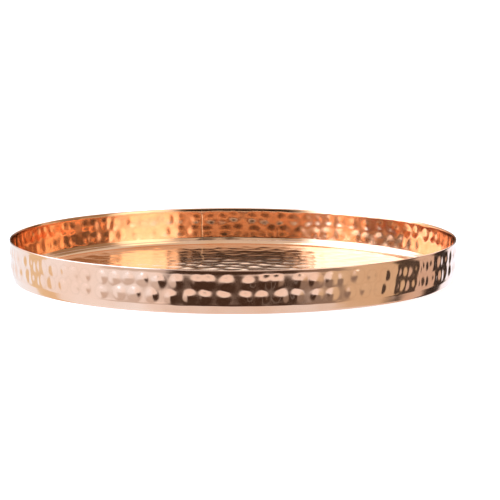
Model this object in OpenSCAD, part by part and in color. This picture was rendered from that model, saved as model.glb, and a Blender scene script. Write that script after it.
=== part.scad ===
// Round hammered copper tray: a sheet-metal hoop, whose upright wall ends below in a smooth
// bevel, and a shallow floor pan soldered inside it. The hammered bosses of the wall and the
// dimples of the floor are surface work, and this model leaves both plain.
// Millimetres. +Z is up, and the origin is the centre of the plane that the tray stands on.

/* [Tray] */
// Overall diameter, across the lip
rim_d = 279.4; // [200:0.1:400]
// Overall height
tray_h = 25.4; // [24:0.1:32]

/* [Sheet] */
// Thickness of the wall's strip
wall_t = 0.8; // [0.6:0.1:1.2]
// Thickness of the floor pan
floor_t = 0.8; // [0.6:0.1:1.2]

/* [Wall] */
// How far the straight wall's top lies inside the lip
wall_inset = 0.3; // [0.1:0.1:2]
// How far the wall leans in from its top to the bevel
wall_taper = 0.8; // [0:0.1:2]
// Height of the flared strip below the lip
lip_h = 3; // [2:0.1:6]

/* [Bevel] */
// Height of the smooth bevel
bevel_h = 5; // [4:0.1:6]
// How far the bevel leans in
bevel_in = 1.6; // [1:0.1:4]

/* [Floor pan] */
// Height of the pan's turned-up edge
pan_h = 3.1; // [2:0.1:3.5]
// Width of the curve from the flat floor to the turned-up edge
cove_w = 3; // [2:0.1:5]

/* [Joints] */
// Width of the gap between the strip's ends, which the braze fills
seam_gap = 0.4; // [0.2:0.1:1]
// Direction of the seam, counter-clockwise from +X
seam_angle = 99; // [0:1:359]
// How far the braze stands proud of the strip
seam_proud = 0.1; // [0:0.05:0.2]
// Free width between the pan's edge and the bevel, which the solder fills
solder_gap = 0.15; // [0.1:0.05:0.3]
// Height of the solder above the pan's edge
solder_h = 0.3; // [0.1:0.1:0.5]

/* [Hidden] */
$fn = 96;

edge_r = wall_t / 2;
lip_z = tray_h - edge_r;
wall_top_z = tray_h - lip_h;
wall_top_r = rim_d / 2 - wall_inset;
bevel_top_r = wall_top_r - wall_taper;
foot_r = bevel_top_r - bevel_in;
pan_r = strip_r(pan_h) - wall_t - solder_gap;
floor_r = pan_r - floor_t - cove_w + bevel_in * pan_h / bevel_h;
solder_top_z = pan_h + solder_h;

flare_steps = 6;
cove_steps = 8;
solder_start = 3;
reach = 2;

// Outer radius of the strip at height z: bevel, straight wall, then a flare out to the lip.
function strip_r(z) =
    z < bevel_h ? foot_r + bevel_in * z / bevel_h
    : z < wall_top_z ? bevel_top_r + wall_taper * (z - bevel_h) / (wall_top_z - bevel_h)
    : wall_top_r + wall_inset * pow((z - wall_top_z) / (lip_z - wall_top_z), 2);

// Heights at which the strip's section has a corner, from the foot up to the lip.
strip_zs = concat([edge_r, bevel_h], [for (i = [0:flare_steps]) wall_top_z + (lip_z - wall_top_z) * i / flare_steps]);

// Point at t on the quadratic curve that starts at a and ends at c, and leaves both towards b.
function curve_point(a, b, c, t) = (1 - t) * (1 - t) * a + 2 * t * (1 - t) * b + t * t * c;

// Point i of the pan's curve from the floor up to its edge, for the face that is inset from the outer one.
function cove_point(i, inset) = curve_point(
    [floor_r, inset],
    [pan_r - inset - bevel_in * (pan_h - inset) / bevel_h, inset],
    [pan_r - inset, pan_h],
    i / cove_steps);

// Section of the strip, with radius along X and height along Y. Its foot and lip are round.
module strip_section() {
    polygon(concat(
        [for (z = strip_zs) [strip_r(z), z]],
        [for (i = [1:len(strip_zs)]) let (z = strip_zs[len(strip_zs) - i]) [strip_r(z) - wall_t, z]]));
    for (z = [edge_r, lip_z])
        translate([strip_r(z) - edge_r, z])
            circle(r = edge_r);
}

// Thin upright slab through the strip where its ends meet.
module seam_slab(low_z, high_z) {
    rotate([0, 0, seam_angle])
        translate([foot_r - wall_t - reach, -seam_gap / 2, low_z])
            cube([wall_t + bevel_in + wall_taper + wall_inset + 2 * reach, seam_gap, high_z - low_z]);
}

module wall_hoop() {
    color("#c98263")
        difference() {
            rotate_extrude() strip_section();
            seam_slab(-reach, tray_h + reach);
        }
}

// Flat floor with a narrow turned-up edge that nests in the bevel.
module floor_pan() {
    color("#b96f4d")
        rotate_extrude()
            polygon(concat(
                [[0, 0]],
                [for (i = [0:cove_steps]) cove_point(i, 0)],
                [for (i = [0:cove_steps]) cove_point(cove_steps - i, floor_t)],
                [[0, floor_t]]));
}

// Braze that closes the hoop, flush at the foot and lip and proud of the upright wall.
module hoop_seam_braze() {
    color("#d9a86c")
        union() {
            intersection() {
                rotate_extrude() strip_section();
                seam_slab(-reach, tray_h + reach);
            }
            intersection() {
                rotate_extrude()
                    polygon([
                        [strip_r(bevel_h) + seam_proud, bevel_h],
                        [strip_r(wall_top_z) + seam_proud, wall_top_z],
                        [strip_r(wall_top_z) - wall_t - seam_proud, wall_top_z],
                        [strip_r(bevel_h) - wall_t - seam_proud, bevel_h]]);
                seam_slab(bevel_h, wall_top_z);
            }
        }
}

// Solder that fills the wedge between the pan's curve and the bevel, and closes the pan's edge.
module floor_solder_ring() {
    low_z = cove_point(solder_start, 0)[1];
    color("#d6cfc4")
        rotate_extrude()
            polygon(concat(
                [for (i = [solder_start:cove_steps]) cove_point(i, 0)],
                [[strip_r(solder_top_z) - wall_t, solder_top_z], [strip_r(low_z) - wall_t, low_z]]));
}

wall_hoop();
floor_pan();
hoop_seam_braze();
floor_solder_ring();
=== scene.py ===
"""Looks of a round hammered copper tray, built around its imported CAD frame.

The hoop and the floor pan start as smooth blanks of sheet metal. Geometry Nodes then set out
the places of the punch and the hammer, and push the sheet out or down around every mark.
"""

from __future__ import annotations

import logging
import math
from collections.abc import Mapping, Sequence
from dataclasses import dataclass, field
from enum import Enum
from typing import Any

import bpy
import numpy as np
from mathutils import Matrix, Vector

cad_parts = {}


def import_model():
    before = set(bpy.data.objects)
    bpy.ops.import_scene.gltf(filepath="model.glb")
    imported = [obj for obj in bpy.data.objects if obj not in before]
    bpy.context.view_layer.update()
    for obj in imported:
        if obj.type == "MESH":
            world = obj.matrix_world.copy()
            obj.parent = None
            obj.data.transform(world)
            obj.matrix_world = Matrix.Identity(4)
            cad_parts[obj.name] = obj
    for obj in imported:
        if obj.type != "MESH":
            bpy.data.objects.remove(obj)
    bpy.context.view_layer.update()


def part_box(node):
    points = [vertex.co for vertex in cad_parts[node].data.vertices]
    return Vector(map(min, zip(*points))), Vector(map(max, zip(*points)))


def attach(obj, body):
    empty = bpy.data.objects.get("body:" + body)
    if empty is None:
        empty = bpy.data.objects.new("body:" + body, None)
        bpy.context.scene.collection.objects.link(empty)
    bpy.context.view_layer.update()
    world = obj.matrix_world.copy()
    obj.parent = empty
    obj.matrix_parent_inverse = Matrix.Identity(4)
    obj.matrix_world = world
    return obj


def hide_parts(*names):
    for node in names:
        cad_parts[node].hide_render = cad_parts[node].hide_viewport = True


log = logging.getLogger("tray")

MM = 0.001
TURN = 2 * math.pi
BODY = "root"
SHARP_EDGE = math.radians(50)

Colour = tuple[float, float, float]
Point2 = tuple[float, float]


# ---- Node building --------------------


class Term:
    """An output socket on which Python arithmetic adds Math nodes."""

    def __init__(self, graph: Graph, socket: bpy.types.NodeSocket) -> None:
        """Wraps one socket.

        Args:
            graph: The graph that new nodes go into.
            socket: The output socket.
        """
        self.graph = graph
        self.socket = socket

    def __add__(self, other: Term | float) -> Term:
        """Sum of two terms."""
        return self.graph.math("ADD", self, other)

    def __sub__(self, other: Term | float) -> Term:
        """Difference of two terms."""
        return self.graph.math("SUBTRACT", self, other)

    def __rsub__(self, other: float) -> Term:
        """Difference of a number and this term."""
        return self.graph.math("SUBTRACT", other, self)

    def __mul__(self, other: Term | float) -> Term:
        """Product of two terms."""
        return self.graph.math("MULTIPLY", self, other)

    def __truediv__(self, other: Term | float) -> Term:
        """Quotient of two terms."""
        return self.graph.math("DIVIDE", self, other)

    def __pow__(self, power: float) -> Term:
        """This term raised to a power."""
        return self.graph.math("POWER", self, power)

    __radd__ = __add__
    __rmul__ = __mul__


class Graph:
    """Adds nodes to one shader or geometry tree and links them."""

    def __init__(self, tree: bpy.types.NodeTree) -> None:
        """Wraps a node tree."""
        self.tree = tree

    def make(
        self,
        kind: str,
        settings: Mapping[str, Any] | None = None,
        sockets: Mapping[str | int, Any] | None = None,
        output: str | int = 0,
    ) -> Term | None:
        """Adds one node.

        Args:
            kind: The node's type name.
            settings: Values of its properties, set before its sockets.
            sockets: Values or terms for its input sockets, by name or index.
            output: Which output the result wraps.

        Returns:
            The output as a term, or None for a node that has no output.
        """
        node = self.tree.nodes.new(kind)
        for key, value in (settings or {}).items():
            setattr(node, key, value)
        for key, value in (sockets or {}).items():
            if isinstance(value, Term):
                self.tree.links.new(value.socket, node.inputs[key])
            else:
                node.inputs[key].default_value = value
        return Term(self, node.outputs[output]) if len(node.outputs) else None

    def math(self, operation: str, *values: Term | float) -> Term:
        """Adds a Math node on the given values."""
        return self.make("ShaderNodeMath", {"operation": operation}, dict(enumerate(values)))

    def vector(self, operation: str, *values: Any, output: str = "Vector") -> Term:
        """Adds a Vector Math node on the given vectors."""
        return self.make("ShaderNodeVectorMath", {"operation": operation}, dict(enumerate(values)), output)

    def scaled(self, vector: Term, factor: Term | float) -> Term:
        """A vector times a number."""
        return self.make("ShaderNodeVectorMath", {"operation": "SCALE"}, {0: vector, "Scale": factor})

    def xyz(self, x: Term | float, y: Term | float, z: Term | float) -> Term:
        """A vector from its three parts."""
        return self.make("ShaderNodeCombineXYZ", None, {"X": x, "Y": y, "Z": z})

    def parts(self, vector: Term) -> tuple[Term, Term, Term]:
        """The three parts of a vector."""
        split = self.make("ShaderNodeSeparateXYZ", None, {"Vector": vector})
        return tuple(Term(self, socket) for socket in split.socket.node.outputs)

    def step(self, value: Term, low: float, high: float) -> Term:
        """A smooth step.

        Args:
            value: The value tested.
            low: Where the step starts, at 0.
            high: Where the step ends, at 1. It may be the lower of the two.

        Returns:
            The step, from 0 to 1.
        """
        return self.make(
            "ShaderNodeMapRange",
            {"interpolation_type": "SMOOTHSTEP"},
            {"Value": value, "From Min": low, "From Max": high},
        )

    def mix(self, factor: Term | float, first: Term | Colour, second: Term | Colour) -> Term:
        """Mixes two colours.

        Args:
            factor: 0 gives the first colour and 1 the second.
            first: A colour or a colour term.
            second: A colour or a colour term.

        Returns:
            The mixed colour.
        """
        ends = [c if isinstance(c, Term) else (*c, 1.0) for c in (first, second)]
        return self.make(
            "ShaderNodeMix",
            {"data_type": "RGBA"},
            {0: factor, 6: ends[0], 7: ends[1]},
            output=2,
        )

    def noise(self, place: Term, size: float, detail: float = 2.0, rough: float = 0.5) -> Term:
        """Soft noise.

        Args:
            place: Where it is read.
            size: Size of its blobs in metres.
            detail: Octaves of finer noise.
            rough: Strength of the finer octaves.

        Returns:
            The noise, about 0 to 1 and 0.5 on average.
        """
        return self.make(
            "ShaderNodeTexNoise",
            None,
            {"Vector": place, "Scale": 1 / size, "Detail": detail, "Roughness": rough},
        )


class GeometryGraph(Graph):
    """A geometry tree with named inputs, which an object's blank mesh runs through."""

    def __init__(self, name: str) -> None:
        """Makes an empty tree.

        Args:
            name: The tree's name.
        """
        super().__init__(bpy.data.node_groups.new(name, "GeometryNodeTree"))
        self.values: dict[str, Any] = {}
        self.tree.interface.new_socket("Geometry", in_out="INPUT", socket_type="NodeSocketGeometry")
        self.tree.interface.new_socket("Geometry", in_out="OUTPUT", socket_type="NodeSocketGeometry")
        self.entry = self.tree.nodes.new("NodeGroupInput")

    @property
    def blank(self) -> Term:
        """The geometry that enters the tree."""
        return Term(self, self.entry.outputs[0])

    def size(self, name: str, value: float) -> Term:
        """Adds a named input that holds a number.

        Args:
            name: The input's name.
            value: The number that the modifier gives it: a whole number makes an integer input.

        Returns:
            The input as a term.
        """
        kind = "NodeSocketInt" if isinstance(value, int) else "NodeSocketFloat"
        socket = self.tree.interface.new_socket(name, in_out="INPUT", socket_type=kind)
        self.values[socket.identifier] = value
        return Term(self, self.entry.outputs[name])

    def random(self, low: float, high: float, seed: Term, salt: int) -> Term:
        """A random number for each point.

        Args:
            low: Lowest value.
            high: Highest value.
            seed: The tree's seed.
            salt: A whole number of its own for each use.

        Returns:
            The random number.
        """
        return self.make(
            "FunctionNodeRandomValue",
            {"data_type": "FLOAT"},
            {2: low, 3: high, "Seed": seed + salt},
            output=1,
        )

    def index(self) -> Term:
        """The number of each point."""
        return self.make("GeometryNodeInputIndex")

    def position(self) -> Term:
        """The place of each point."""
        return self.make("GeometryNodeInputPosition")

    def sample(self, marks: Term, value: Term, index: Term, kind: str) -> Term:
        """Reads a value from one of a set of points.

        Args:
            marks: The points.
            value: What is read from them.
            index: Which point is read.
            kind: The value's data type.

        Returns:
            The value.
        """
        return self.make(
            "GeometryNodeSampleIndex",
            {"data_type": kind},
            {"Geometry": marks, "Value": value, "Index": index},
        )

    def nearest(self, marks: Term, place: Term) -> tuple[Term, Term]:
        """Finds the nearest mark.

        Args:
            marks: The points, whose radii are the marks' own radii.
            place: Where the search starts.

        Returns:
            The distance to the nearest mark's centre, and that mark's radius.
        """
        index = self.make("GeometryNodeSampleNearest", None, {"Geometry": marks, "Sample Position": place})
        centre = self.sample(marks, self.position(), index, "FLOAT_VECTOR")
        radius = self.sample(marks, self.make("GeometryNodeInputRadius"), index, "FLOAT")
        return self.vector("DISTANCE", place, centre, output="Value"), radius

    def store(self, geometry: Term, name: str, value: Term) -> Term:
        """Stores a number on every point.

        Args:
            geometry: The mesh.
            name: The attribute's name.
            value: The number.

        Returns:
            The mesh with the attribute.
        """
        return self.make(
            "GeometryNodeStoreNamedAttribute",
            {"data_type": "FLOAT", "domain": "POINT"},
            {"Geometry": geometry, "Name": name, "Value": value},
        )

    def close(self, geometry: Term, material: bpy.types.Material) -> None:
        """Shades the mesh smooth with its sharp edges kept, and ends the tree.

        Args:
            geometry: The finished mesh.
            material: The finish that it gets.
        """
        sharp = self.math("GREATER_THAN", self.make("GeometryNodeInputMeshEdgeAngle"), SHARP_EDGE)
        smooth = self.make(
            "GeometryNodeSetShadeSmooth",
            {"domain": "FACE"},
            {"Geometry": geometry, "Shade Smooth": True},
        )
        edged = self.make(
            "GeometryNodeSetShadeSmooth",
            {"domain": "EDGE"},
            {"Geometry": smooth, "Selection": sharp, "Shade Smooth": False},
        )
        real = self.make("GeometryNodeRealizeInstances", None, {"Geometry": edged})
        dressed = self.make("GeometryNodeSetMaterial", None, {"Geometry": real, "Material": material})
        self.make("NodeGroupOutput", None, {0: dressed})

    def run(self, blank: bpy.types.Object) -> bpy.types.Object:
        """Runs a blank through the tree and leaves the result as its plain mesh.

        Args:
            blank: The object that holds the blank mesh.

        Returns:
            The same object, with the finished mesh and no modifier.
        """
        modifier = blank.modifiers.new(self.tree.name, "NODES")
        modifier.node_group = self.tree
        for identifier, value in self.values.items():
            modifier[identifier] = value
        graph = bpy.context.evaluated_depsgraph_get()
        made = bpy.data.meshes.new_from_object(blank.evaluated_get(graph), depsgraph=graph)
        blank.modifiers.remove(modifier)
        blank.data = made
        made.name = blank.name
        return blank


# ---- Finishes --------------------


@dataclass(frozen=True)
class MetalFinish:
    """A polished metal with hand-rubbed variation, a little tarnish in its hollows, and on inner faces a
    deeper orange that is painted reflection.
    """

    name: str
    bright: Colour
    warm: Colour
    tarnish: Colour
    gloss: float
    haze: float
    tarnish_share: float
    scratch_depth: float
    dent_depth: float
    hollow_attribute: str = ""
    # Inner faces can be mixed towards the inside colour. That colour is a painted reflection of light bounced
    # round inside the tray, not a colour of the metal.
    painted_reflection_attribute: str = ""
    inside: Colour = (0.0, 0.0, 0.0)
    cloud_size: float = 38 * MM
    smear_size: float = 7 * MM
    grain_size: float = 1.6 * MM
    dent_size: float = 3.4 * MM
    smoothest: float = 0.03

    def material(self) -> bpy.types.Material:
        """Builds the node material.

        Returns:
            The material.
        """
        made = bpy.data.materials.new(self.name)
        made.use_nodes = True
        made.node_tree.nodes.clear()
        graph = Graph(made.node_tree)
        place = graph.make("ShaderNodeTexCoord", output="Object")
        cloud = graph.noise(place, self.cloud_size, 3.0)
        smear = graph.noise(place, self.smear_size, 4.0, 0.6)
        rubbed = graph.vector("MULTIPLY", place, (1.0, 1.0, 9.0))
        grain = graph.noise(rubbed, self.grain_size, 3.0, 0.65)
        hollow = self._stored(graph, self.hollow_attribute) if self.hollow_attribute else 0.0
        colour = graph.mix(graph.step(cloud, 0.34, 0.7), self.bright, self.warm)
        # Painted reflection: the stored inner-face mask mixes the colour towards a deeper orange, which
        # stands in for light bounced inside the tray.
        if self.painted_reflection_attribute:
            colour = graph.mix(self._stored(graph, self.painted_reflection_attribute), colour, self.inside)
        stain = graph.step(smear, 0.42, 0.78) * 0.35 + hollow
        stain = graph.math("MINIMUM", stain * self.tarnish_share, 1.0)
        colour = graph.mix(stain, colour, self.tarnish)
        rough = self.gloss + (cloud - 0.5) * self.haze + grain * self.haze * 0.5 + stain * 0.12
        surface = graph.make(
            "ShaderNodeBsdfPrincipled",
            None,
            {
                "Base Color": colour,
                "Metallic": 1.0,
                "Roughness": graph.math("MAXIMUM", rough, self.smoothest),
                "Normal": self._relief(graph, place, grain),
            },
        )
        graph.make("ShaderNodeOutputMaterial", None, {"Surface": surface})
        return made

    @staticmethod
    def _stored(graph: Graph, name: str) -> Term:
        """Reads a number that the piece's geometry tree stored on its points."""
        return graph.make("ShaderNodeAttribute", {"attribute_name": name}, None, "Fac")

    def _relief(self, graph: Graph, place: Term, grain: Term) -> Term:
        """Fine dents and rubbed grain as a surface normal.

        Args:
            graph: The material's graph.
            place: Object coordinates.
            grain: The rubbed grain.

        Returns:
            The normal.
        """
        dents = graph.noise(place, self.dent_size, 1.5, 0.4)
        height = dents * self.dent_depth + grain * self.scratch_depth
        return graph.make("ShaderNodeBump", None, {"Strength": 1.0, "Distance": 1.0, "Height": height})


class Finish(Enum):
    """The finishes on the tray, one for each kind of piece."""

    WALL = MetalFinish(
        name="copper_wall",
        bright=(0.955, 0.65, 0.51),
        warm=(0.935, 0.58, 0.42),
        tarnish=(0.56, 0.27, 0.17),
        gloss=0.105,
        haze=0.05,
        tarnish_share=0.1,
        scratch_depth=0.0000012,
        dent_depth=0.000012,
        hollow_attribute="hollow",
        # The hoop's inner faces get a deeper orange, a painted reflection of the light bounced inside the
        # tray.
        painted_reflection_attribute="inside",
        inside=(0.93, 0.53, 0.31),
    )
    FLOOR = MetalFinish(
        name="copper_floor",
        bright=(0.95, 0.615, 0.41),
        warm=(0.925, 0.53, 0.29),
        tarnish=(0.5, 0.24, 0.15),
        gloss=0.13,
        haze=0.06,
        tarnish_share=0.1,
        scratch_depth=0.000002,
        dent_depth=0.000016,
        hollow_attribute="hollow",
    )
    BRAZE = MetalFinish(
        name="braze",
        bright=(0.93, 0.7, 0.48),
        warm=(0.9, 0.6, 0.38),
        tarnish=(0.5, 0.3, 0.18),
        gloss=0.18,
        haze=0.08,
        tarnish_share=0.5,
        scratch_depth=0.000003,
        dent_depth=0.00002,
    )
    SOLDER = MetalFinish(
        name="solder",
        bright=(0.86, 0.56, 0.4),
        warm=(0.7, 0.4, 0.26),
        tarnish=(0.3, 0.15, 0.09),
        gloss=0.24,
        haze=0.1,
        tarnish_share=0.7,
        scratch_depth=0.000004,
        dent_depth=0.00004,
    )


# ---- Shapes --------------------


@dataclass(frozen=True)
class TrayShape:
    """Main sizes of the tray in metres. The first ones are read from the frame."""

    rim_radius: float
    height: float
    pan_radius: float
    pan_top: float
    solder_low: float
    solder_high: float
    seam_angle: float
    sheet: float = 0.8 * MM
    seam_gap: float = 0.4 * MM
    wall_inset: float = 0.3 * MM
    wall_taper: float = 0.8 * MM
    lip_height: float = 3.0 * MM
    bevel_height: float = 5.0 * MM
    bevel_in: float = 1.6 * MM
    cove_width: float = 3.0 * MM
    bevel_round: float = 0.35 * MM

    @classmethod
    def from_frame(cls) -> TrayShape:
        """Reads the sizes from the CAD nodes' boxes.

        Returns:
            The tray's shape.
        """
        _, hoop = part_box("wall_hoop")
        _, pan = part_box("floor_pan")
        solder_low, solder_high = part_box("floor_solder_ring")
        braze_low, braze_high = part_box("hoop_seam_braze")
        middle = (braze_low + braze_high) / 2
        return cls(
            rim_radius=max(hoop.x, hoop.y),
            height=hoop.z,
            pan_radius=max(pan.x, pan.y),
            pan_top=pan.z,
            solder_low=solder_low.z,
            solder_high=solder_high.z,
            seam_angle=math.atan2(middle.y, middle.x),
        )

    @property
    def lip_z(self) -> float:
        """Height of the centre of the lip's round edge."""
        return self.height - self.sheet / 2

    @property
    def wall_top_z(self) -> float:
        """Height at which the wall starts to flare out to the lip."""
        return self.height - self.lip_height

    @property
    def foot_radius(self) -> float:
        """Outer radius at which the bevel would meet the ground."""
        return self.rim_radius - self.wall_inset - self.wall_taper - self.bevel_in

    @property
    def bevel_slope(self) -> float:
        """How far the bevel leans out for each metre of height."""
        return self.bevel_in / self.bevel_height

    @property
    def flat_radius(self) -> float:
        """Radius of the flat floor, inside its curved edge."""
        return self.pan_radius - self.sheet - self.cove_width + self.bevel_slope * self.pan_top

    def outer_radius(self, z: float) -> float:
        """Outer radius of the smooth hoop.

        Args:
            z: Height above the ground.

        Returns:
            The radius: bevel, then straight wall, then a flare out to the lip.
        """
        if z < self.bevel_height:
            return self.foot_radius + self.bevel_slope * z
        wall = self.foot_radius + self.bevel_in
        if z < self.wall_top_z:
            return wall + self.wall_taper * (z - self.bevel_height) / (self.wall_top_z - self.bevel_height)
        share = (z - self.wall_top_z) / (self.lip_z - self.wall_top_z)
        return wall + self.wall_taper + self.wall_inset * share**2

    def strip_path(self, wall_step: float) -> list[Point2]:
        """Middle line of the hoop's sheet, as radius and height, from its foot to its lip.

        Args:
            wall_step: Spacing of its points up the hammered wall.

        Returns:
            The points.
        """
        half = self.sheet / 2
        bend = self.bevel_height
        heights = list(np.linspace(half, bend - self.bevel_round, 6))
        heights += [bend, bend + self.bevel_round]
        rows = round((self.wall_top_z - bend - 2 * self.bevel_round) / wall_step)
        heights += list(np.linspace(bend + 2 * self.bevel_round, self.wall_top_z, rows))
        heights += list(np.linspace(self.wall_top_z, self.lip_z, 6)[1:])
        return [(self.outer_radius(z) - half, z) for z in heights]

    def cove(self, inset: float, steps: int) -> list[Point2]:
        """Curve of the pan from its flat floor up to its edge.

        Args:
            inset: Distance in from the pan's outer face: 0 for that face, the sheet for the inner one.
            steps: How many stretches it has.

        Returns:
            Its points, as radius and height.
        """
        start = np.array((self.flat_radius, inset))
        end = np.array((self.pan_radius - inset, self.pan_top))
        bend = np.array((end[0] - self.bevel_slope * (self.pan_top - inset), inset))
        shares = [k / steps for k in range(steps + 1)]
        return [tuple((1 - t) ** 2 * start + 2 * t * (1 - t) * bend + t * t * end) for t in shares]


def path_normals(path: Sequence[Point2]) -> list[Point2]:
    """Outward normals along an open path.

    Args:
        path: Points of radius and height that run up the sheet.

    Returns:
        A unit normal for each point, on the right-hand side of the path.
    """
    steps = np.gradient(np.array(path), axis=0)
    steps /= np.linalg.norm(steps, axis=1)[:, None]
    return [(dz, -dr) for dr, dz in steps]


def round_end(place: Point2, normal: Point2, half: float) -> list[Point2]:
    """Three points over a sheet's round end.

    Args:
        place: End of the sheet's middle line.
        normal: The normal that the round end starts from.
        half: Half of the sheet's thickness.

    Returns:
        The points, turning to the left from the normal.
    """
    (r, z), (nr, nz) = place, normal
    points = []
    for quarter in (1, 2, 3):
        c, s = math.cos(quarter * math.pi / 4), math.sin(quarter * math.pi / 4)
        points.append((r + half * (nr * c - nz * s), z + half * (nz * c + nr * s)))
    return points


def strip_outline(path: Sequence[Point2], half: float) -> list[Point2]:
    """Closed outline of a sheet that follows a path and is round at both ends.

    Args:
        path: The sheet's middle line.
        half: Half of its thickness.

    Returns:
        The outline: up the outside, over the lip, down the inside, and under the foot.
    """
    normals = path_normals(path)
    outer = [(r + half * nr, z + half * nz) for (r, z), (nr, nz) in zip(path, normals)]
    inner = [(r - half * nr, z - half * nz) for (r, z), (nr, nz) in zip(path, normals)]
    foot_r, foot_z = normals[0]
    lip = round_end(path[-1], normals[-1], half)
    foot = round_end(path[0], (-foot_r, -foot_z), half)
    return outer + lip + inner[::-1] + foot


def new_piece(name: str, points: Any, faces: Any) -> bpy.types.Object:
    """Makes an object from points and faces and puts it in the scene.

    Args:
        name: The object's name.
        points: Its vertices.
        faces: Vertex numbers of each face.

    Returns:
        The object, at the origin.
    """
    mesh = bpy.data.meshes.new(name)
    mesh.from_pydata(points, [], faces)
    mesh.update()
    piece = bpy.data.objects.new(name, mesh)
    bpy.context.scene.collection.objects.link(piece)
    return piece


def turned(outline: Sequence[Point2], angles: Sequence[float]) -> list[tuple[float, float, float]]:
    """Turns an outline about the tray's axis.

    Args:
        outline: Points of radius and height.
        angles: Where a copy of it stands.

    Returns:
        The points, one copy after another.
    """
    return [(r * math.cos(a), r * math.sin(a), z) for a in angles for r, z in outline]


def skin(copies: int, length: int, closed: bool) -> list[tuple[int, ...]]:
    """Faces between neighbouring copies of a closed outline.

    Args:
        copies: How many copies there are.
        length: Points of each copy.
        closed: True if the last copy joins the first.

    Returns:
        The faces, which point out of the outline where it runs counter-clockwise.
    """
    faces = []
    for i in range(copies if closed else copies - 1):
        here, there = i * length, (i + 1) % copies * length
        for j in range(length):
            k = (j + 1) % length
            faces.append((here + j, there + j, there + k, here + k))
    return faces


@dataclass(frozen=True)
class PunchRow:
    """One row of bosses round the wall. Scatters are shares of its pitch or its radius."""

    name: str
    count: int
    height: float
    radius: float
    angle_scatter: float
    height_scatter: float
    size_scatter: float


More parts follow.
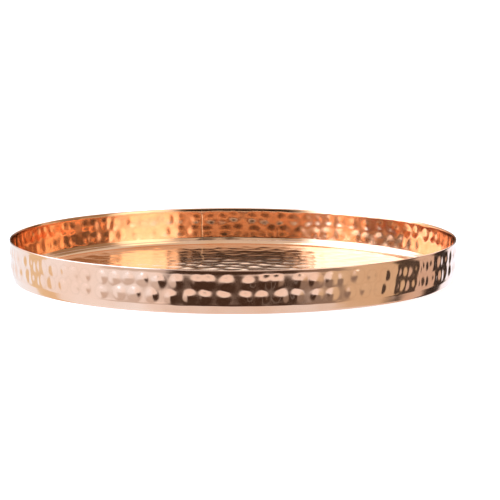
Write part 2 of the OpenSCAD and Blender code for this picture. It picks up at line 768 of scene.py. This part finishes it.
@dataclass
class WallHoop:
    """The hoop: punched wall and smooth bevel, beaten from one strip."""

    shape: TrayShape
    columns: int = 1040
    wall_step: float = 0.72 * MM
    lower: PunchRow = PunchRow("Lower", 82, 10.0 * MM, 4.25 * MM, 0.15, 0.5 * MM, 0.09)
    upper: PunchRow = PunchRow("Upper", 90, 18.4 * MM, 4.3 * MM, 0.28, 0.8 * MM, 0.15)
    boss_height: float = 0.5 * MM
    apex_round: float = 0.35
    edge_blend: float = 0.12 * MM
    merge_blend: float = 0.22 * MM
    warp: float = 1.5 * MM
    waviness: float = 0.2 * MM
    bevel_wander: float = 0.9 * MM
    inside_share: float = 0.42
    foot_fade: float = 1.0 * MM
    lip_fade: float = 4.0 * MM
    bevel_fade: float = 2.6 * MM
    slow_size: float = 24 * MM
    quick_size: float = 9 * MM
    wander_size: float = 14 * MM
    pull_size: float = 6 * MM
    seed: int = 5

    def build(self) -> bpy.types.Object:
        """Makes the hoop.

        Returns:
            The finished piece.
        """
        return self._beating().run(self._blank())

    def _blank(self) -> bpy.types.Object:
        """The smooth hoop, open at its seam."""
        path = self.shape.strip_path(self.wall_step)
        outline = strip_outline(path, self.shape.sheet / 2)
        half_gap = self.shape.seam_gap / 2 / self.shape.rim_radius
        start = self.shape.seam_angle + half_gap
        angles = np.linspace(start, start + TURN - 2 * half_gap, self.columns)
        length, rows = len(outline), len(path)
        faces = skin(self.columns, length, closed=False)
        inner = [length - 4 - k for k in range(rows)]
        ends = [(k, k + 1, inner[k + 1], inner[k]) for k in range(rows - 1)]
        ends.append(tuple(range(rows - 1, inner[-1] + 1)))
        ends.append((*range(inner[0], length), 0))
        last = (self.columns - 1) * length
        faces += ends
        faces += [tuple(last + j for j in reversed(end)) for end in ends]
        return new_piece("wall_hoop_beaten", turned(outline, angles), faces)

    def _beating(self) -> GeometryGraph:
        """The tree that punches the two rows of bosses and leaves the sheet a little uneven."""
        graph = GeometryGraph("Punched hoop")
        radius = graph.size("Wall radius", self.shape.outer_radius(self.lower.height))
        seam = graph.size("Seam angle", self.shape.seam_angle)
        boss_height = graph.size("Boss height", self.boss_height)
        blend = graph.size("Edge blend", self.edge_blend)
        merge = graph.size("Merge blend", self.merge_blend)
        warp = graph.size("Warp", self.warp)
        waviness = graph.size("Waviness", self.waviness)
        wander = graph.size("Bevel wander", self.bevel_wander)
        inside_share = graph.size("Depth inside", self.inside_share)
        seed = graph.size("Seed", self.seed)

        x, y, z = graph.parts(graph.position())
        outward = graph.vector("NORMALIZE", graph.xyz(x, y, 0.0))
        flat = graph.vector("ADD", graph.scaled(outward, radius), graph.xyz(0.0, 0.0, z))
        pulled = self._pulled(graph, flat, warp)
        dome: Term | float = 0.0
        for salt, row in ((0, self.lower), (10, self.upper)):
            for turn in (0, 1):
                marks = self._marks(graph, row, turn, radius, seam, seed, salt + 5 * turn)
                bump = self._bump(graph, marks, pulled, row.radius) * boss_height
                dome = graph.math("SMOOTH_MAX", dome, bump, merge if isinstance(dome, Term) else blend)
        on_wall = graph.step(z, self.shape.bevel_height, self.shape.bevel_height + self.foot_fade)
        slow = (graph.noise(flat, self.slow_size, 1.0) - 0.5) * waviness * 2.0
        quick = (graph.noise(flat, self.quick_size, 1.0) - 0.5) * waviness * 0.9
        near_lip = graph.step(z, self.shape.height, self.shape.height - self.lip_fade)
        calm = on_wall * near_lip * 0.9 + graph.step(z, 0.0, 2.0 * MM) * near_lip * 0.1
        facing = graph.vector("DOT_PRODUCT", graph.make("GeometryNodeInputNormal"), outward, output="Value")
        # The dimples inside are shallower than the bosses outside, so the sheet is thicker there.
        inside = graph.step(facing, 0.1, -0.1)
        depth = 1.0 - inside * (1.0 - inside_share)
        push = dome * on_wall * near_lip * depth + (slow + quick) * calm
        edge = graph.step(graph.math("ABSOLUTE", z - self.shape.bevel_height), self.bevel_fade, 0.0)
        rise = (graph.noise(flat, self.wander_size, 1.5) - 0.5) * edge * wander
        offset = graph.vector("ADD", graph.scaled(outward, push), graph.xyz(0.0, 0.0, rise))
        foot = graph.step(dome / boss_height, 0.3, 0.02) * graph.step(dome / boss_height, 0.0, 0.04)
        # The inner-face mask is stored here. The wall finish uses it to paint a reflection colour on the
        # inside.
        marked = graph.store(graph.blank, "inside", inside)
        beaten = graph.make("GeometryNodeSetPosition", None, {"Geometry": marked, "Offset": offset})
        graph.close(graph.store(beaten, "hollow", foot * on_wall), Finish.WALL.value.material())
        return graph

    def _pulled(self, graph: GeometryGraph, flat: Term, warp: Term) -> Term:
        """Places on the wall, pulled a little sideways so that no boss is a true circle.

        Args:
            graph: The hoop's tree.
            flat: Places on the smooth wall.
            warp: How far they are pulled.

        Returns:
            The pulled places.
        """
        drift = graph.make(
            "ShaderNodeTexNoise",
            None,
            {"Vector": flat, "Scale": 1 / self.pull_size, "Detail": 1.0},
            output="Color",
        )
        return graph.vector("ADD", flat, graph.scaled(graph.vector("SUBTRACT", drift, (0.5,) * 3), warp))

    def _bump(self, graph: GeometryGraph, marks: Term, place: Term, usual: float) -> Term:
        """Shape of the bosses: blunt cones, so that their flanks are even and their tops round.

        Args:
            graph: The hoop's tree.
            marks: The punch marks.
            place: Where the shape is read.
            usual: The row's usual radius, which gives a boss its usual height.

        Returns:
            1 at a boss's top, 0 at its edge, and less beyond it.
        """
        distance, own_radius = graph.nearest(marks, place)
        share = distance / own_radius
        blunt = self.apex_round
        flank = (share * share + blunt * blunt) ** 0.5 - blunt
        return (1.0 - flank / (math.hypot(1.0, blunt) - blunt)) * (own_radius / usual)

    @staticmethod
    def _marks(
        graph: GeometryGraph, row: PunchRow, turn: int, radius: Term, seam: Term, seed: Term, salt: int
    ) -> Term:
        """Sets out every second punch mark of a row.

        Args:
            graph: The hoop's tree.
            row: The row.
            turn: 0 for the even marks and 1 for the odd ones.
            radius: Radius of the wall.
            seam: Direction of the seam, which no mark lies on.
            seed: The tree's seed.
            salt: Keeps these marks' scatter apart from the others'.

        Returns:
            The marks as points.
        """
        label = f"{row.name} {('even', 'odd')[turn]}"
        count = graph.size(f"{label} count", row.count // 2)
        height = graph.size(f"{label} height", row.height)
        usual = graph.size(f"{label} radius", row.radius)
        scatter = graph.random(-row.angle_scatter, row.angle_scatter, seed, salt + 1)
        angle = seam + (graph.index() * 2.0 + (0.5 + turn) + scatter) / (count * 2.0) * TURN
        lift = graph.random(-row.height_scatter, row.height_scatter, seed, salt + 2)
        place = graph.xyz(
            graph.math("COSINE", angle) * radius,
            graph.math("SINE", angle) * radius,
            height + lift,
        )
        size = graph.random(1 - row.size_scatter, 1 + row.size_scatter, seed, salt + 3)
        return graph.make(
            "GeometryNodePoints",
            None,
            {"Count": count, "Position": place, "Radius": size * usual},
        )


@dataclass
class FloorPan:
    """The floor: a flat pan with a curved edge, planished on its top along a spiral."""

    shape: TrayShape
    rings: int = 126
    cove_steps: int = 9
    under_rings: int = 6
    pitch: float = 10.5 * MM
    along: float = 13.5 * MM
    bowl_radius: float = 80 * MM
    scatter: float = 3.0 * MM
    plain_edge: float = 1.0 * MM
    edge_fade: float = 4.0 * MM
    sag: float = 0.3 * MM
    sag_size: float = 45 * MM
    seed: int = 11

    @property
    def columns(self) -> int:
        """Points round the outermost ring."""
        return 6 * self.rings

    def build(self) -> bpy.types.Object:
        """Makes the pan.

        Returns:
            The finished piece.
        """
        return self._beating().run(self._blank())

    def _blank(self) -> bpy.types.Object:
        """The smooth pan: a fine top, its curved edge, and a plain underside."""
        flat = self.shape.flat_radius
        sheet = self.shape.sheet
        points = [(0.0, 0.0, sheet)]
        for ring in range(1, self.rings + 1):
            away = ring * flat / self.rings
            points += turned([(away, sheet)], [TURN * k / (6 * ring) for k in range(6 * ring)])
        faces = list(self._top_faces())
        first = len(points) - self.columns
        top_r, top_z = self.shape.pan_radius - sheet / 2, self.shape.pan_top
        inner = self.shape.cove(sheet, self.cove_steps)
        outer = self.shape.cove(0.0, self.cove_steps)
        crown = [(top_r, top_z)]
        under = [(flat * k / self.under_rings, 0.0) for k in range(self.under_rings - 1, 0, -1)]
        angles = [TURN * k / self.columns for k in range(self.columns)]
        for station in inner[1:] + crown + outer[::-1] + under:
            points += turned([station], angles)
            faces += self._band(first, first + self.columns)
            first += self.columns
        points.append((0.0, 0.0, 0.0))
        faces += [(first + k, first + (k + 1) % self.columns, len(points) - 1) for k in range(self.columns)]
        return new_piece("floor_pan_beaten", points, [tuple(reversed(face)) for face in faces])

    def _band(self, here: int, there: int) -> list[tuple[int, ...]]:
        """Faces between two neighbouring full rings.

        Args:
            here: First point of one ring.
            there: First point of the next.

        Returns:
            The faces.
        """
        turns = [(k, (k + 1) % self.columns) for k in range(self.columns)]
        return [(here + k, here + n, there + n, there + k) for k, n in turns]

    def _top_faces(self) -> list[tuple[int, int, int]]:
        """Triangles between the rings of the flat top, each with six points more than the last."""
        faces = []
        inner_first, outer_first = 0, 1
        for ring in range(1, self.rings + 1):
            inner_count, outer_count = max(1, 6 * (ring - 1)), 6 * ring
            for side in range(6):
                for k in range(ring):
                    inner = side * (ring - 1) + k
                    a = outer_first + side * ring + k
                    b = outer_first + (side * ring + k + 1) % outer_count
                    c = inner_first + inner % inner_count
                    faces.append((c, b, a))
                    if k < ring - 1:
                        faces.append((c, inner_first + (inner + 1) % inner_count, b))
            inner_first, outer_first = outer_first, outer_first + outer_count
        return faces

    def _beating(self) -> GeometryGraph:
        """The tree that presses a shallow bowl around every hammer mark on the pan's top."""
        graph = GeometryGraph("Planished floor")
        pitch = graph.size("Row pitch", self.pitch)
        along = graph.size("Pitch along a row", self.along)
        bowl_radius = graph.size("Bowl radius", self.bowl_radius)
        scatter = graph.size("Scatter", self.scatter)
        edge = graph.size("Hammered radius", self.shape.flat_radius - self.plain_edge)
        area = math.pi * self.shape.flat_radius**2
        count = graph.size("Mark count", round(area / (self.pitch * self.along)))
        seed = graph.size("Seed", self.seed)
        angle = graph.math("SQRT", (graph.index() + 0.4) * (2 * TURN) * (along / pitch))
        away = angle * pitch / TURN
        place = graph.xyz(
            graph.math("COSINE", angle) * away + graph.random(-1.0, 1.0, seed, 1) * scatter,
            graph.math("SINE", angle) * away + graph.random(-1.0, 1.0, seed, 2) * scatter,
            0.0,
        )
        size = graph.random(0.75, 1.3, seed, 3)
        marks = graph.make("GeometryNodePoints", None, {"Count": count, "Position": place, "Radius": size})
        x, y, z = graph.parts(graph.position())
        flat = graph.xyz(x, y, 0.0)
        distance, own_size = graph.nearest(marks, flat)
        depth = distance * distance / (bowl_radius * own_size * 2.0)
        full = pitch * pitch / (bowl_radius * 8.0)
        sunk = graph.math("SMOOTH_MIN", depth, full * 2.0, full) - full
        from_middle = graph.vector("LENGTH", flat, output="Value")
        inside = graph.step(from_middle - edge, 0.0, -self.edge_fade)
        on_top = graph.math("GREATER_THAN", z, self.shape.sheet / 2)
        slow = (graph.noise(flat, self.sag_size, 1.0) - 0.5) * self.sag
        offset = graph.xyz(0.0, 0.0, (sunk + slow) * inside * on_top)
        beaten = graph.make("GeometryNodeSetPosition", None, {"Geometry": graph.blank, "Offset": offset})
        hollow = graph.step(distance / pitch, 0.55, 0.1) * inside * on_top
        graph.close(graph.store(beaten, "hollow", hollow), Finish.FLOOR.value.material())
        return graph


@dataclass
class SeamBraze:
    """The braze that closes the hoop: a core in the gap and a low bead on each face of the wall."""

    shape: TrayShape
    step: float = 0.8 * MM
    bead_half_width: float = 0.55 * MM
    bead_height: float = 0.1 * MM
    wander: float = 0.2 * MM
    fade: float = 1.5 * MM
    arc_steps: int = 6
    core_share: float = 0.96

    def build(self) -> bpy.types.Object:
        """Makes the braze.

        Returns:
            The finished piece.
        """
        path = self.shape.strip_path(self.step)
        half = self.shape.sheet / 2
        stations = [(r, z, normal, half) for (r, z), normal in zip(path, path_normals(path))]
        low, high = stations[0], stations[-1]
        for angle in (math.radians(35), math.radians(60), math.radians(82)):
            part, rise = half * math.cos(angle), half * math.sin(angle)
            stations.insert(0, (low[0], low[1] - rise, low[2], part))
            stations.append((high[0], high[1] + rise, high[2], part))
        points = [point for station in stations for point in self._loop(*station)]
        length = len(points) // len(stations)
        faces = [tuple(reversed(face)) for face in skin(len(stations), length, closed=False)]
        faces.append(tuple(reversed(range(length))))
        faces.append(tuple((len(stations) - 1) * length + j for j in range(length)))
        return finish_plain(new_piece("hoop_seam_braze_bead", points, faces), Finish.BRAZE)

    def _loop(self, r: float, z: float, normal: Point2, half: float) -> list[tuple[float, float, float]]:
        """One closed section of the braze.

        Args:
            r: Radius of the sheet's middle line.
            z: Height of the sheet's middle line.
            normal: The sheet's outward normal.
            half: Half of the sheet's thickness there.

        Returns:
            The section's points: the outer bead, the core's one side, the inner bead, its other side.
        """
        wall = self.shape
        start = np.clip((z - wall.bevel_height) / self.fade, 0, 1)
        end = np.clip((wall.wall_top_z - z) / self.fade, 0, 1)
        share = float(start * end)
        gap = wall.seam_gap / 2
        wide = gap + (self.bead_half_width - gap) * share
        proud = self.bead_height * share * (1 + 0.15 * math.sin(z / MM * 4.1))
        shift = self.wander * share * math.sin(z / MM * 0.55 + 0.8)
        arc = [math.pi * k / self.arc_steps for k in range(self.arc_steps + 1)]
        face = [(half + proud * math.sin(a), shift - wide * math.cos(a)) for a in arc]
        back = [(-out, along) for out, along in reversed(face)]
        core = half * self.core_share
        points = []
        for out, along in [*face, (core, gap), (-core, gap), *back, (-core, -gap), (core, -gap)]:
            radius = r + out * normal[0]
            angle = wall.seam_angle + along / radius
            height = min(max(z + out * normal[1], 0.0), wall.height)
            points.append((radius * math.cos(angle), radius * math.sin(angle), height))
        return points


@dataclass
class SolderRing:
    """The solder between the pan's curved edge and the bevel, with a small uneven fillet on top."""

    shape: TrayShape
    columns: int = 720
    curve_steps: int = 8
    ripple: float = 0.06 * MM

    def build(self) -> bpy.types.Object:
        """Makes the ring.

        Returns:
            The finished piece.
        """
        wall = self.shape
        curve = wall.cove(0.0, self.curve_steps)
        side = [point for point in curve if point[1] > wall.solder_low - 0.05 * MM]
        points = []
        for column in range(self.columns):
            angle = TURN * column / self.columns
            wave = math.sin(angle * 61) + 0.7 * math.sin(angle * 97 + 1.3) + 0.5 * math.sin(angle * 143 + 0.4)
            top = wall.solder_high - self.ripple * (1.0 + 0.5 * wave)
            high = (wall.outer_radius(top) - wall.sheet, top)
            low = (wall.outer_radius(wall.solder_low) - wall.sheet, wall.solder_low)
            points += turned([*side, high, low], [angle])
        faces = skin(self.columns, len(side) + 2, closed=True)
        faces = [tuple(reversed(face)) for face in faces]
        return finish_plain(new_piece("floor_solder_bead", points, faces), Finish.SOLDER)


def finish_plain(piece: bpy.types.Object, finish: Finish) -> bpy.types.Object:
    """Shades a piece smooth with its sharp edges kept, and dresses it.

    Args:
        piece: The piece.
        finish: Its finish.

    Returns:
        The piece.
    """
    mesh = piece.data
    mesh.materials.append(finish.value.material())
    mesh.shade_smooth()
    mesh.set_sharp_from_angle(angle=SHARP_EDGE)
    return piece


# ---- Studio --------------------


@dataclass(frozen=True)
class Card:
    """A soft card or flag far away from the tray, in degrees, painted over those before it.

    Azimuth 0 is towards the camera's side and 90 is to the right.
    """

    azimuth: float
    half_width: float
    low: float
    high: float
    strength: float
    tint: Colour = (1.0, 1.0, 1.0)
    soft: float = 3.0
    rise_soft: float = 3.0


@dataclass
class Studio:
    """Pale floor, light tent, and camera."""

    shape: TrayShape
    tent: float = 1.0
    floor_glow: float = 0.62
    floor_half: float = 60.0
    backdrop: float = 1.05
    sensor: float = 36.0
    lens: float = 144.8
    shift: Point2 = (0.034, 0.0115)
    elevation: float = 8.57
    distance: float = 1.2656
    cards: list[Card] = field(default_factory=list)

    def build(self) -> None:
        """Builds the floor, the tent and the camera."""
        scene = bpy.context.scene
        scene.view_settings.view_transform = "Standard"
        self._floor()
        self._tent(scene)
        self._camera(scene)

    def _floor(self) -> None:
        """Lays a pale floor that the copper doesn't mirror and that hides nothing from below."""
        half = self.floor_half
        floor = new_piece(
            "studio_floor",
            [(-half, -half, 0.0), (half, -half, 0.0), (half, half, 0.0), (-half, half, 0.0)],
            [(0, 1, 2, 3)],
        )
        floor.visible_glossy = False
        made = bpy.data.materials.new("studio_floor")
        made.use_nodes = True
        made.node_tree.nodes.clear()
        graph = Graph(made.node_tree)
        paint = graph.make("ShaderNodeBsdfDiffuse", None, {"Color": (0.8, 0.8, 0.8, 1.0)})
        glow = graph.make("ShaderNodeEmission", None, {"Strength": self.floor_glow})
        lit = graph.make("ShaderNodeAddShader", None, {0: paint, 1: glow})
        under = graph.make("ShaderNodeNewGeometry", output="Backfacing")
        clear = graph.make("ShaderNodeBsdfTransparent")
        surface = graph.make("ShaderNodeMixShader", None, {0: under, 1: lit, 2: clear})
        graph.make("ShaderNodeOutputMaterial", None, {"Surface": surface})
        floor.data.materials.append(made)

    def _tent(self, scene: bpy.types.Scene) -> None:
        """Makes the world a soft light tent with cards and flags, plain white to the camera.

        Args:
            scene: The scene.
        """
        world = bpy.data.worlds.new("light_tent")
        scene.world = world
        world.use_nodes = True
        world.node_tree.nodes.clear()
        graph = Graph(world.node_tree)
        direction = graph.vector("NORMALIZE", graph.make("ShaderNodeTexCoord", output="Generated"))
        x, y, z = graph.parts(direction)
        level = graph.vector("NORMALIZE", graph.xyz(x, y, 0.0))
        height = graph.math("ARCSINE", z) * (180 / math.pi)
        light: Term | Colour = (self.tent,) * 3
        for card in self.cards:
            light = graph.mix(self._card_mask(graph, card, level, height), light, self._paint(card))
        tent = graph.make("ShaderNodeBackground", None, {"Color": light})
        white = {"Color": (1.0, 1.0, 1.0, 1.0), "Strength": self.backdrop}
        plain = graph.make("ShaderNodeBackground", None, white)
        seen = graph.make("ShaderNodeLightPath", output="Is Camera Ray")
        surface = graph.make("ShaderNodeMixShader", None, {0: seen, 1: tent, 2: plain})
        graph.make("ShaderNodeOutputWorld", None, {"Surface": surface})

    @staticmethod
    def _paint(card: Card) -> Colour:
        """A card's colour times its strength."""
        return tuple(card.strength * part for part in card.tint)

    @staticmethod
    def _card_mask(graph: Graph, card: Card, level: Term, height: Term) -> Term:
        """Where a card shows.

        Args:
            graph: The world's graph.
            card: The card.
            level: The direction looked in, made level.
            height: Its height above the horizon in degrees.

        Returns:
            1 on the card and 0 off it.
        """
        turn = math.radians(card.azimuth)
        facing = graph.vector("DOT_PRODUCT", level, (math.sin(turn), -math.cos(turn), 0.0), output="Value")
        outer = math.cos(math.radians(min(180.0, card.half_width + card.soft / 2)))
        inner = math.cos(math.radians(max(0.0, card.half_width - card.soft / 2)))
        across = graph.step(facing, outer, inner)
        half = card.rise_soft / 2
        up = graph.step(height, card.low - half, card.low + half)
        down = graph.step(height, card.high + half, card.high - half)
        return across * up * down

    def _camera(self, scene: bpy.types.Scene) -> None:
        """Puts the camera in front of the tray, a little above it.

        Args:
            scene: The scene.
        """
        data = bpy.data.cameras.new("camera")
        data.sensor_width = self.sensor
        data.lens = self.lens
        data.shift_x, data.shift_y = self.shift
        data.clip_end = 200.0
        camera = bpy.data.objects.new("camera", data)
        scene.collection.objects.link(camera)
        elevation = math.radians(self.elevation)
        target = Vector((0.0, 0.0, self.shape.height / 2))
        back = Vector((0.0, -math.cos(elevation), math.sin(elevation)))
        camera.location = target + back * self.distance
        camera.rotation_euler = (-back).to_track_quat("-Z", "Y").to_euler()
        scene.camera = camera


STUDIO_CARDS = [
    # The table that the bevel and the undersides of the bosses mirror, and a pale ceiling.
    Card(0, 180, -95, -37, 0.84, rise_soft=7.0, soft=0.1),
    Card(0, 180, 24, 95, 0.72, rise_soft=5.0, soft=0.1),
    # Left: a pale wall low down, and a strong softbox above it.
    Card(-112, 66, -95, 4, 1.0, tint=(0.97, 1.08, 1.18), soft=24.0, rise_soft=8.0),
    Card(-52, 19, -36, -15, 0.66, tint=(1.0, 0.95, 0.9), soft=12.0, rise_soft=10.0),
    Card(-83, 37, 1, 62, 2.9, tint=(0.86, 1.12, 1.5), soft=12.0, rise_soft=4.0),
    Card(-120, 8.5, -95, 4, 0.84, tint=(1.0, 0.86, 0.58), soft=2.0),
    # Right: a warm wall, brighter above, with two dark stands and a pale gap between them.
    Card(72, 28, -40, 3, 0.7, tint=(1.0, 0.83, 0.58), soft=6.0),
    Card(90, 30, 3, 30, 0.35, tint=(1.0, 0.8, 0.6), soft=12.0),
    Card(53, 12, 3, 40, 1.9, tint=(1.0, 1.0, 0.92), soft=20.0),
    Card(119, 13, -45, 5, 0.7, tint=(1.0, 0.82, 0.68), soft=2.0),
    Card(165, 20, -45, 2, 1.25, tint=(0.86, 0.95, 1.08), soft=4.0),
    Card(99, 7.5, -33, 3, 0.08, tint=(1.0, 0.8, 0.65), soft=3.0),
    Card(134, 9, -33, 19, 0.04, tint=(1.0, 0.8, 0.7), soft=3.0),
    # Behind: a dim wall under a bright sweep.
    Card(180, 46, 2, 13, 0.16, tint=(1.0, 0.75, 0.5), soft=14.0),
    Card(180, 40, 14, 40, 1.4, soft=14.0),
    # Front: dark below, a pale strip that the crowns of the bosses mirror, and dark again above it.
    Card(33, 26, -37, -13, 0.28, tint=(1.0, 0.82, 0.68), soft=14.0, rise_soft=5.0),
    Card(0, 34, -37, -11, 0.06, tint=(1.0, 0.62, 0.42), soft=7.0, rise_soft=5.0),
    Card(18, 1.0, -37, -13, 0.25, soft=0.8),
    Card(8, 42, -8, 5, 0.98, tint=(1.0, 0.95, 0.92), soft=12.0, rise_soft=11.0),
    Card(-3, 34, 3, 26, 0.03, tint=(1.0, 0.72, 0.45), soft=12.0, rise_soft=2.0),
]


# ---- The tray --------------------


def stand_in(piece: bpy.types.Object, node: str) -> None:
    """Lets a piece stand for a CAD node.

    Args:
        piece: The finished piece.
        node: The CAD node.
    """
    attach(piece, BODY)
    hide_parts(node)
    log.info("%s: %d vertices, %d faces", piece.name, len(piece.data.vertices), len(piece.data.polygons))


def main() -> None:
    """Builds the tray and its studio."""
    logging.basicConfig(level=logging.INFO, format="%(name)s: %(message)s")
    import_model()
    shape = TrayShape.from_frame()
    stand_in(WallHoop(shape).build(), "wall_hoop")
    stand_in(FloorPan(shape).build(), "floor_pan")
    stand_in(SeamBraze(shape).build(), "hoop_seam_braze")
    stand_in(SolderRing(shape).build(), "floor_solder_ring")
    Studio(shape, cards=STUDIO_CARDS).build()


if __name__ == "__main__":
    main()
